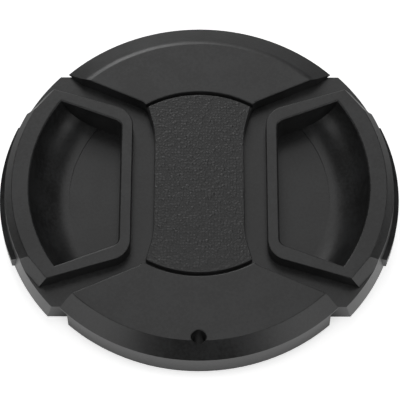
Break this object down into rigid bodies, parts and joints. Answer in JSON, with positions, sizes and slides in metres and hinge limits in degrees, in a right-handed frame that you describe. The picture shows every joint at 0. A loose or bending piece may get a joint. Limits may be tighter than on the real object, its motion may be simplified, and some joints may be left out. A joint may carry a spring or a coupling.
{
  "type": "camera lens cap",
  "caption": "Pinch-fit camera lens cap with two centre-pinch sliding latches, scooped finger pockets, sprung returns and a small keeper hole in its rim.",
  "frame": {"origin": "centre of the bounding box at its lowest plane, on the cap's axis at the end of the rear skirt", "axes": "+X along the latches' travel, to the right latch; +Y across it, away from the keeper hole; +Z out of the front face"},
  "size_m": [0.0644, 0.061, 0.0088],
  "materials": {
    "satin_shell": "satin moulded black",
    "grained_insert": "fine leather grain, matt",
    "latch_plastic": "satin moulded black",
    "spring_steel": "drawn wire",
    "rear_plastic": "matt moulded black"
  },
  "bodies": {
    "cover": {"front_cover": "satin_shell", "centre_plate": "grained_insert", "back_plate": "rear_plastic", "upper_spring": "spring_steel", "lower_spring": "spring_steel"},
    "right_slide": {"right_latch": "latch_plastic"},
    "left_slide": {"left_latch": "latch_plastic"}
  },
  "joints": [
    {"name": "right_pinch", "type": "slide", "parent": "cover", "child": "right_slide", "axis": [-1, 0, 0], "range_m": [0, 0.0025], "stiffness_N_per_m": 800, "springref_m": -0.001, "deforming": ["upper_spring", "lower_spring"]},
    {"name": "left_pinch", "type": "slide", "parent": "cover", "child": "left_slide", "axis": [1, 0, 0], "range_m": [0, 0.0025], "stiffness_N_per_m": 800, "springref_m": -0.001, "deforming": ["upper_spring", "lower_spring"]}
  ]
}
